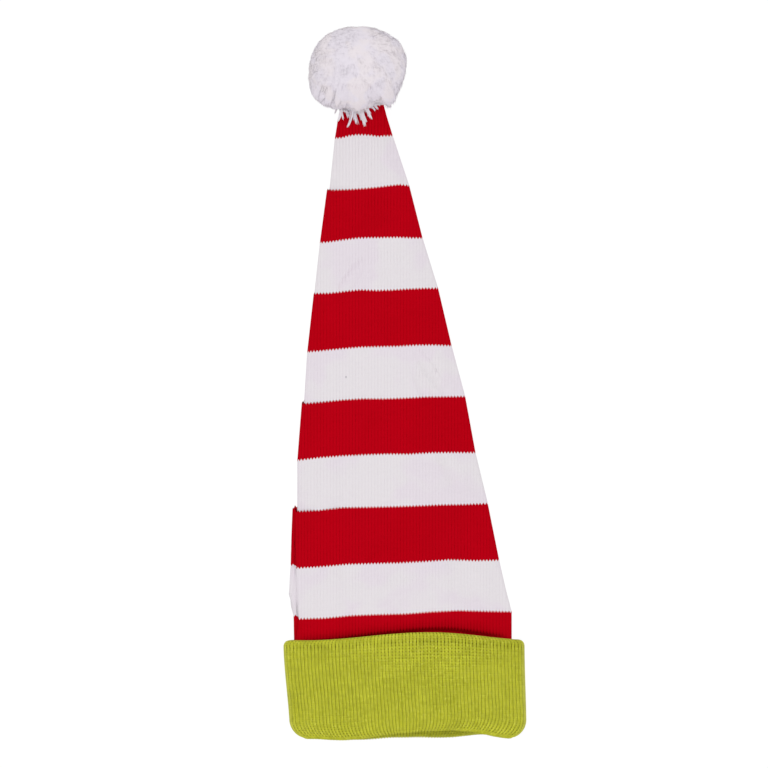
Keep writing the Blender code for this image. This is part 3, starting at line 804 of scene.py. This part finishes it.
def cuff_rows():
    """Rows round the cuff's wall: where each lies, the level of its sections, the share of the
    inner wall, the depths under the band's and the wall's outer faces, and the course."""
    edge = KNIT_WALL / 2.0
    nose = KNIT_WALL + TURN_GAP / 2.0
    crease = MOUTH_Y + nose + KNIT_WALL
    top = -CLEARANCE
    rows = [Row(y, y, 1.0, KNIT_WALL, 0.0, -1.0) for y in np.linspace(top, crease, 6)]
    rows += [Row(y, y, 0.0, KNIT_WALL, KNIT_WALL, -1.0)
             for y in np.linspace(crease, EDGE_Y - edge, 7)]
    for angle in np.radians((-60.0, -30.0, 0.0, 30.0, 60.0)):
        y = EDGE_Y - edge + edge * np.cos(angle)
        rows.append(Row(y, y, 0.0, edge * (1.0 - np.sin(angle)), KNIT_WALL, 0.0))
    band = EDGE_Y - edge - (MOUTH_Y + nose)
    count = round(band / COURSE)
    for half in range(2 * count + 1):
        y = EDGE_Y - edge - band * half / (2 * count)
        rows.append(Row(y, y, 0.0, 0.0, KNIT_WALL, half / 2))
    turned = nose * pi / COURSE
    for turn in np.arange(1, 12) / 12:
        y = MOUTH_Y + nose * (1.0 - np.sin(pi * turn))
        level = max(y, MOUTH_Y + NOSE_LEVEL * nose)
        rows.append(Row(y, level, (1.0 - np.cos(pi * turn)) / 2.0, 0.0, KNIT_WALL,
                        count + turn * turned))
    inside = np.linspace(MOUTH_Y + nose, top, round((top - MOUTH_Y - nose) / COURSE))
    rows += [Row(y, y, 1.0, 0.0, KNIT_WALL, count + turned + step)
             for step, y in enumerate(inside)]
    rows.append(Row(top, top, 1.0, 0.0, 0.0, -1.0))
    return Row(*np.array(rows).T)


def cuff_panel(front):
    """Front or back half of the cuff: the band, the turn at the mouth and the inner wall."""
    columns_per = 6 if front else 2
    row = cuff_rows()
    wales = round((CROWN_WIDTH + 2.0 * CUFF_OVERHANG) / CUFF_WALE)
    share = np.arange(wales * columns_per + 1) / (wales * columns_per)
    y, inner, course = (np.reshape(value, (-1, 1)) for value in (row.y, row.inner, row.course))
    arch = cuff_arch(y)
    sections = ((band_section(row.level), row.band),
                (tunnel_section(np.minimum(row.level, 0.0)), row.wall))
    places = []
    for cut, depth in sections:
        cut, depth = column_of(cut), np.reshape(depth, (-1, 1))
        low, high = limits(cut, front, depth)
        reach = low + (high - low) * share
        how = {"inset": depth, "arch": arch}
        x, along, z, folded = lay(cut, reach, front, **how)
        places.append(np.stack((x, along - cut.y, z, folded,
                                *facing(cut, reach, front, low, high, **how))))
    x, lifted, z, folded, aside, upward = blend(places[0], places[1], inner)
    y = y + lifted
    outward = np.cos(pi * inner)
    number = share * wales
    fade = 1.0 - smooth((folded - 0.45) / 0.5)
    shown = smooth(course / 2.0) * (course >= 0.0)
    band = (inner == 0.0) * shown
    fullness = 1.0 + layers(x, y, FULLNESS_WAVES)
    relief = stitch_relief(number, course, CUFF_DIP, 9) - RELIEF_SUNK
    relief = CUFF_RELIEF * relief * fade * shown * fullness
    below = course * COURSE
    rim = CUFF_RIM * np.sin(pi * np.clip(below / RIM_DEPTH, 0.0, 1.0)) * fade
    gaps = np.exp(-((below - GAP_PLACE) / GAP_RUN) ** 2) * fade
    between = np.abs(2.0 * (number % 1.0) - 1.0) ** 3
    relief = relief + (rim - GAP_SINK * gaps * between * fullness) * band
    if front:
        relief = relief + soft_form(x, y, CUFF_WAVES, CUFF_CREASES) * fade * band
    x = x + relief * aside * outward + WANDER * waves(x, y, 0.018, 17) * fade * shown
    z = np.maximum(z + relief * upward * outward, 0.0)
    y = y + (CUFF_ZIGZAG * zigzag(number) + WANDER * waves(x, y, 0.022, 18)) * fade * shown
    # Painted sheen: how strongly a paler colour is painted round the band's side folds, weaker on
    # the left
    side = np.where(x > 0.0, 1.0, SIDE_SHEEN_LEFT)
    loose = side * smooth((folded - SIDE_SHEEN_START) / (1.0 - SIDE_SHEEN_START)) * band
    return panel("cuff_front" if front else "cuff_back", x, y, z, number, course,
                 flip=not front, rim=loose)


def make_cuff():
    """The whole cuff as one piece."""
    cuff = join([cuff_panel(front) for front in (True, False)], "cuff_knit")
    cuff.data.materials.append(LIME)
    return cuff


def pile_reach(direction):
    """How far the pile stands out from the pompom's middle in each direction."""
    bearing = np.arctan2(direction[:, 0], direction[:, 1]) / (2.0 * pi) % 1.0 * len(PILE_REACH)
    low = np.floor(bearing).astype(int)
    around = blend(PILE_REACH[low % len(PILE_REACH)], PILE_REACH[(low + 1) % len(PILE_REACH)],
                   smooth(bearing - low))
    level = np.hypot(direction[:, 0], direction[:, 1])
    half = POMPOM_WIDTH / 2.0 * around
    tall = POMPOM_HEIGHT / 2.0 + POMPOM_SINK / 2.0
    reach = 1.0 / np.sqrt((level / half) ** 2 + (direction[:, 2] / tall) ** 2)
    down = np.where(direction[:, 2] < -0.01, POMPOM_LEVEL / np.maximum(-direction[:, 2], 0.01), 1.0)
    return np.minimum(reach, down)


POMPOM_LEVEL = POMPOM_HEIGHT / 2.0 - POMPOM_SINK / 2.0
TIP = crown_section(np.array([float(STRIPE_COUNT)]), STRIPE_COUNT - 1)
TIP_X = (TIP.left[0] + TIP.right[0]) / 2.0
POMPOM_MIDDLE = SHIFT + np.array((
    TIP_X + POMPOM_SHIFT,
    TIP.y[0] - TIP_SINK + POMPOM_WIDTH / 2.0 * TIP_REACH,
    POMPOM_LEVEL))


def strands(name, paths, widths, sides, out=(0.0, 0.0, 1.0)):
    """Tapered strands along rows of points, each closed by a point at its end, in one mesh.

    Each strand turns a flat side towards its direction "out".
    """
    count, steps, _ = paths.shape
    run = np.gradient(paths, axis=1)
    run /= np.maximum(np.linalg.norm(run, axis=2, keepdims=True), 1e-9)
    first = np.cross(run, np.reshape(out, (-1, 1, 3)))
    first /= np.maximum(np.linalg.norm(first, axis=2, keepdims=True), 1e-9)
    second = np.cross(run, first)
    turns = (np.arange(sides) * 2.0 + (0.0 if sides % 2 else 1.0)) * pi / sides + pi / 2.0
    spin = turns.reshape(1, 1, sides, 1)
    ring = first[:, :, None] * np.cos(spin) + second[:, :, None] * np.sin(spin)
    rings = paths[:, :-1, None] + ring[:, :-1] * widths[:, :-1, None, None]
    body = rings.reshape(count, -1, 3)
    points = np.concatenate((body, paths[:, -1:]), axis=1).reshape(-1, 3)
    per = (steps - 1) * sides + 1
    base = (np.arange(count) * per).reshape(-1, 1, 1)
    a = np.arange(per - 1)
    b = a // sides * sides + (a + 1) % sides
    quads = np.stack((a, b, b + sides, a + sides), axis=1)[:-sides]
    caps = np.stack((a, b, 0 * a + per - 1), axis=1)[-sides:]
    quads, caps = (base + quads).reshape(-1, 4), (base + caps).reshape(-1, 3)
    mesh = bpy.data.meshes.new(name)
    mesh.vertices.add(len(points))
    mesh.vertices.foreach_set("co", points.reshape(-1))
    mesh.loops.add(quads.size + caps.size)
    mesh.loops.foreach_set("vertex_index", np.concatenate((quads.reshape(-1), caps.reshape(-1))))
    mesh.polygons.add(len(quads) + len(caps))
    starts = np.concatenate((np.arange(len(quads)) * 4, quads.size + np.arange(len(caps)) * 3))
    mesh.polygons.foreach_set("loop_start", starts)
    mesh.update(calc_edges=True)
    mesh.shade_smooth()
    piece = bpy.data.objects.new(name, mesh)
    bpy.context.scene.collection.objects.link(piece)
    return piece


def spread(count, seed, stray):
    """Directions spread evenly over a sphere, each one a little astray."""
    chance = np.random.default_rng(seed)
    step = np.arange(count) + 0.5
    level = 1.0 - 2.0 * step / count
    turn = pi * (1.0 + 5.0 ** 0.5) * step
    flat = np.sqrt(1.0 - level * level)
    way = np.stack((flat * np.cos(turn), flat * np.sin(turn), level), axis=1)
    return unit(way + chance.normal(0.0, stray, way.shape))


def unit(vectors):
    """The same directions with length 1."""
    return vectors / np.maximum(np.linalg.norm(vectors, axis=-1, keepdims=True), 1e-9)


def sway(way, rate, seed):
    """Leaning that neighbouring strands share, for directions from the pompom's middle."""
    chance = np.random.default_rng(seed)
    total = np.zeros_like(way)
    for _ in range(5):
        turn = chance.normal(0.0, 1.0, (3, 3)) * rate
        total += np.sin(way @ turn + chance.uniform(0.0, 2.0 * pi, 3))
    return total / 5.0


def tip_section(y):
    """Sections of the crown's last stripe at distances y from the foot line."""
    return crown_section(np.clip(stripes_at(y), TIP_START, STRIPE_COUNT), STRIPE_COUNT - 1)


def clear_of_tip(points):
    """True for points that aren't inside the crown's tip."""
    x, y, z = (points - SHIFT).T
    cut = tip_section(y)
    inside = ((y < TIP.y[0]) & (x > cut.left - 0.001) & (x < cut.right + 0.001)
              & (z > cut.floor - 0.001) & (z < cut.floor + cut.height + 0.0005))
    return ~inside


def lumps(way):
    """Share of the pompom's reach that its soft lumps add in each direction."""
    return -0.010 * sway(way, 3.5, 40)[:, 0] - 0.006 * sway(way, 9.0, 41)[:, 1]


def of_vertices(mesh, what):
    """The vertices' places or normals."""
    values = np.empty(len(mesh.vertices) * 3)
    mesh.vertices.foreach_get(what, values)
    return values.reshape(-1, 3)


def as_pile(piece, share):
    """Give a piece of the pompom its yarn, and shade it mostly as the round form that all its
    strands add up to."""
    way = unit(of_vertices(piece.data, "co") - POMPOM_MIDDLE)
    way[:, 2] += ROUND_LIFT
    mixed = unit(blend(of_vertices(piece.data, "normal"), unit(way), share))
    piece.data.normals_split_custom_set_from_vertices(mixed)
    piece.data.materials.append(PILE)
    return piece


# The pompom's layers of pile: number of strands, seed, their length and width in metres, their
# sides and steps, the share of the outline that they reach, and how far they lean at random and
# as they are combed
Pile = namedtuple("Pile", "name count seed length width sides steps reach lean comb")
PILES = (
    Pile("pompom_pile", 4200, 21, 0.0013, 0.00030, 5, 5, 0.985, 0.06, 0.24),
    Pile("pompom_fuzz", 7500, 22, 0.0025, 0.00015, 3, 3, 1.004, 0.10, 0.14),
)


def make_pile(pile, count):
    """Strands all round the pompom, as far as its outline, combed outward and towards the tip."""
    chance = np.random.default_rng(pile.seed)
    way = spread(count, pile.seed, 0.02)
    way = way[way[:, 2] > LOWEST_WAY]
    leaning = sway(way, 6.0, pile.seed + 1) + 0.5 * sway(way, 17.0, pile.seed + 2)
    comb = way * (1.0, 1.0, 0.0) + (0.0, -COMB_DOWN, 0.0) + COMB_STRAY * sway(way, 5.0, 43)
    comb = unit(comb - way * np.sum(comb * way, axis=1, keepdims=True))
    lean_way = way + pile.lean * leaning + pile.comb * comb
    lean_way = unit(lean_way + chance.normal(0.0, 0.25 * pile.lean, way.shape))
    stray = chance.uniform(-0.5, 0.5, len(way))
    end = pile_reach(lean_way) * pile.reach * (1.0 + lumps(way)) * (1.0 - 0.04 * stray)
    root = pile_reach(way) * pile.reach - pile.length
    share = np.linspace(0.0, 1.0, pile.steps).reshape(1, -1, 1)
    bend = chance.normal(0.0, 0.06, (len(way), 1, 3)) * pile.length
    paths = blend((way * root[:, None])[:, None], (lean_way * end[:, None])[:, None], share)
    paths = POMPOM_MIDDLE + paths + bend * (share * (1.0 - share) * 4.0)
    paths[:, :, 2] = np.maximum(paths[:, :, 2], pile.width)
    keep = clear_of_tip(paths[:, -1]) & clear_of_tip(paths[:, pile.steps // 2])
    paths = paths[keep]
    widths = pile.width * chance.uniform(0.75, 1.2, (len(paths), 1))
    widths = widths * np.linspace(1.0, 0.55, pile.steps)
    return as_pile(strands(pile.name, paths, widths, pile.sides, way[keep]), 0.9)


def make_core():
    """Body of the pompom under its strands."""
    deselect()
    bpy.ops.mesh.primitive_uv_sphere_add(segments=96, ring_count=64, radius=1.0)
    core = bpy.context.object
    core.name = "pompom_core"
    core.data.name = "pompom_core"
    way = unit(of_vertices(core.data, "co"))
    places = POMPOM_MIDDLE + way * (pile_reach(way) * (CORE_REACH + lumps(way)))[:, None]
    places[:, 2] = np.maximum(places[:, 2], 0.0015)
    core.data.vertices.foreach_set("co", places.reshape(-1))
    bpy.ops.object.shade_smooth()
    return as_pile(core, 0.6)


# Clumps of strands that lie over the crown's tip, in the photo's pixels: root, end, bend to the
# side and width
Strand = namedtuple("Strand", "x0 y0 x1 y1 bend width")
TIP_STRANDS = (
    Strand(354, 106, 357, 124, 0.6, 2.4),
    Strand(358, 106, 365.2, 126.5, -0.8, 1.9),
    Strand(352.5, 110, 347.2, 127.7, -1.6, 0.9),
    Strand(341, 106, 343.2, 119.8, 0.4, 1.4),
    Strand(342, 105, 337.7, 122.2, -0.8, 1.3),
    Strand(361, 106, 366.4, 122.7, 0.7, 1.3),
    Strand(366, 104, 372.1, 119.8, 0.8, 1.4),
    Strand(371, 99, 377.8, 109.5, 0.5, 1.4),
    Strand(367, 100, 372.1, 108.8, -0.5, 1.2),
    Strand(344.4, 109.7, 351, 114, 0.3, 0.9),
    Strand(347, 105, 349.5, 118, 0.6, 1.6),
    Strand(351, 105, 354, 120.5, -0.6, 1.7),
    Strand(363, 104, 369, 117, -0.7, 1.4),
    Strand(337, 104, 334.5, 113, -0.4, 1.2),
    Strand(339, 99, 336.2, 108.5, -0.3, 1.1),
    Strand(342, 99, 340.5, 111, 0.4, 1.2),
    Strand(346, 100, 346.4, 114.5, 0.3, 1.3),
    Strand(350, 102, 348.6, 116, -0.5, 1.2),
    Strand(355, 104, 354, 119, 0.5, 1.4),
    Strand(360, 104, 361.4, 120.5, 0.6, 1.4),
    Strand(364, 101, 370.6, 114, 0.6, 1.3),
    Strand(368, 99, 375.2, 111.2, 0.5, 1.2),
    Strand(372, 96, 380, 106.4, 0.4, 1.1),
    Strand(376, 95, 382.2, 103.6, 0.3, 1),
    Strand(366, 98, 377, 107.6, 0.6, 1),
)

# Ends of the long strands that hang over the lower front of the pompom, in the photo's pixels
SKIRT_ENDS = np.array((
    (318, 101), (322, 104), (328, 105), (333, 107), (338, 107), (345, 107), (352, 110), (357, 112),
    (362, 111), (367, 108), (373, 105), (378, 102), (383, 99), (389, 107), (394, 105), (398, 101)))
SKIRT_COUNT = 1500
SKIRT_LOCKS = 60            # locks that these strands gather in
SKIRT_TOP = (80.0, 96.0)    # rows of the photo between which these strands leave the pompom
SKIRT_MIDDLE = 357.0        # column of the photo that they fan out from
TIP_FIBRES = 14             # strands in each clump over the tip
ALONG = np.linspace(0.0, 1.0, 7)    # places of a long strand's points from its root to its end


def lie_on_tip(flat, fullness):
    """Lowest height of strands of one fullness at places over the crown's tip."""
    cut = tip_section(flat[..., 1] - SHIFT[1])
    over = (flat[..., 0] > SHIFT[0] + cut.left) & (flat[..., 0] < SHIFT[0] + cut.right)
    return np.where(over, cut.floor + cut.height + fullness, fullness)


def dome_height(flat):
    """Height of the pompom's upper face at places in the frame, or of its middle beside it."""
    way = np.column_stack((flat - POMPOM_MIDDLE[:2], np.zeros(len(flat))))
    away = np.linalg.norm(way, axis=1)
    share = np.clip(away / pile_reach(unit(way)), 0.0, 1.0)
    tall = POMPOM_HEIGHT / 2.0 + POMPOM_SINK / 2.0
    return POMPOM_LEVEL + tall * np.sqrt(1.0 - share * share)


def bowed(start, end, bend):
    """Points of a strand seen from above, from its start to its end with a bow to the side."""
    run = end - start
    aside = np.array((run[1], -run[0])) / np.hypot(*run)
    share = ALONG[:, None]
    return start + run * share + aside * (bend * 4.0 * share * (1.0 - share))


def make_tip_strands():
    """Loose clumps that hang over the red tip."""
    chance = np.random.default_rng(77)
    paths, widths = [], []
    for strand in TIP_STRANDS:
        width = strand.width * PIXEL
        for _ in range(TIP_FIBRES):
            start = np.array(from_photo(strand.x0, strand.y0)) + chance.normal(0, 0.0010, 2)
            end = np.array(from_photo(strand.x1, strand.y1))
            end = end + chance.normal(0, width * 0.38, 2)
            flat = bowed(start, end, strand.bend * PIXEL)
            low = lie_on_tip(flat, width * 0.6)
            paths.append(np.column_stack((flat, low + 0.012 * (1.0 - ALONG) ** 2)))
            widths.append(chance.uniform(0.00030, 0.00050) * np.linspace(1.0, 0.7, len(ALONG)))
    return as_pile(strands("pompom_strands", np.array(paths), np.array(widths), 6), 0.7)


def make_skirt(count):
    """Long strands combed down over the pompom's lower front, with free ends."""
    chance = np.random.default_rng(78)
    last = len(SKIRT_ENDS) - 1.0
    locks = np.sort(chance.uniform(0.0, last, SKIRT_LOCKS))
    lock_ends = chance.uniform(-4.0, 3.0, SKIRT_LOCKS)
    spot = np.arange(len(SKIRT_ENDS))
    paths, widths = [], []
    for lock in chance.integers(0, SKIRT_LOCKS, count):
        number = locks[lock] + chance.normal(0.0, 0.10)
        x1, y1 = (np.interp(number, spot, SKIRT_ENDS[:, axis]) for axis in (0, 1))
        x1, y1 = x1 + chance.normal(0.0, 0.6), y1 + lock_ends[lock] + chance.normal(0.0, 1.4)
        x0 = SKIRT_MIDDLE + (x1 - SKIRT_MIDDLE) * 0.80 + chance.normal(0.0, 1.0)
        y0 = chance.uniform(*SKIRT_TOP)
        start, end = np.array(from_photo(x0, y0)), np.array(from_photo(x1, y1))
        flat = bowed(start, end, chance.normal(0.0, 0.0008))
        high = dome_height(flat) + 0.0008 * np.sin(pi * ALONG) - 0.003 * (1.0 - ALONG) ** 3
        high = np.maximum(high, lie_on_tip(flat, 0.0008))
        paths.append(np.column_stack((flat, high)))
        widths.append(chance.uniform(0.00030, 0.00060) * np.linspace(1.0, 0.5, len(ALONG)))
    return as_pile(strands("pompom_skirt", np.array(paths), np.array(widths), 5), 0.6)


def make_floor():
    """Plain pale floor, bright to the camera and dimmer to the hat."""
    deselect()
    bpy.ops.mesh.primitive_plane_add(size=12.0)
    floor = bpy.context.object
    floor.name = "floor"
    floor.location.z = -0.0003
    material = bpy.data.materials.new("white floor")
    material.use_nodes = True
    tree = material.node_tree
    tree.nodes.clear()
    nodes = Nodes(tree)
    seen = nodes.add("ShaderNodeAddShader", {
        0: nodes.add("ShaderNodeEmission", {"Color": (1.0, 1.0, 1.0, 1.0), "Strength": 0.95}),
        1: nodes.add("ShaderNodeBsdfDiffuse", {"Color": (0.10, 0.10, 0.10, 1.0)})})
    other = nodes.add("ShaderNodeBsdfDiffuse", {"Color": (0.86, 0.86, 0.86, 1.0)})
    either = nodes.add("ShaderNodeMixShader", {0: nodes.add("ShaderNodeLightPath"), 1: other,
                                               2: seen})
    nodes.fill(tree.nodes.new("ShaderNodeOutputMaterial"), {"Surface": either})
    floor.data.materials.append(material)


def make_light():
    """Even white surroundings, and a large soft box above the hat's left."""
    world = bpy.data.worlds.new("soft white")
    world.use_nodes = True
    Nodes(world.node_tree).fill(world.node_tree.nodes["Background"], {
        "Color": (1.0, 1.0, 1.0, 1.0), "Strength": 0.80})
    bpy.context.scene.world = world
    lamp = bpy.data.lights.new("soft_box", "AREA")
    lamp.shape = "SQUARE"
    lamp.size = 2.2
    lamp.energy = 9.0
    holder = bpy.data.objects.new("soft_box", lamp)
    holder.location = (-0.35, 0.10, 2.5)
    holder.rotation_euler = (-0.04, -0.14, 0.0)
    bpy.context.scene.collection.objects.link(holder)


def make_camera():
    """Straight down on the hat, so that one pixel of the photo is a millimetre."""
    distance = 8.0
    face_height = 0.018
    lens = bpy.data.cameras.new("camera")
    lens.sensor_width = 36.0
    lens.lens = lens.sensor_width * (distance - face_height) / (PHOTO_SIZE * PIXEL)
    camera = bpy.data.objects.new("camera", lens)
    x, y = from_photo(PHOTO_SIZE / 2.0, PHOTO_SIZE / 2.0)
    camera.location = (x, y, distance)
    bpy.context.scene.collection.objects.link(camera)
    bpy.context.scene.camera = camera


def main():
    bpy.context.scene.view_settings.view_transform = "Standard"
    bpy.context.scene.view_settings.look = "None"
    pieces = []
    for name, first, material in (("crown_red", 0, RED), ("crown_white", 1, WHITE)):
        sheets = [crown_panel(stripe, front) for stripe in range(first, STRIPE_COUNT, 2)
                  for front in (True, False)]
        piece = join(sheets, name)
        piece.data.materials.append(material)
        pieces.append(piece)
    inside = crown_inside()
    cuff = make_cuff()
    fewer = 1
    piles = [make_pile(pile, pile.count // fewer) for pile in PILES]
    for piece in (*piles, make_tip_strands(), make_skirt(SKIRT_COUNT // fewer), make_core()):
        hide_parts("pompom")
        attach(piece, "root")
    for piece in pieces + [inside]:
        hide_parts("crown")
        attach(piece, "root")
    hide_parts("cuff")
    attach(cuff, "root")
    make_floor()
    make_light()
    make_camera()


main()
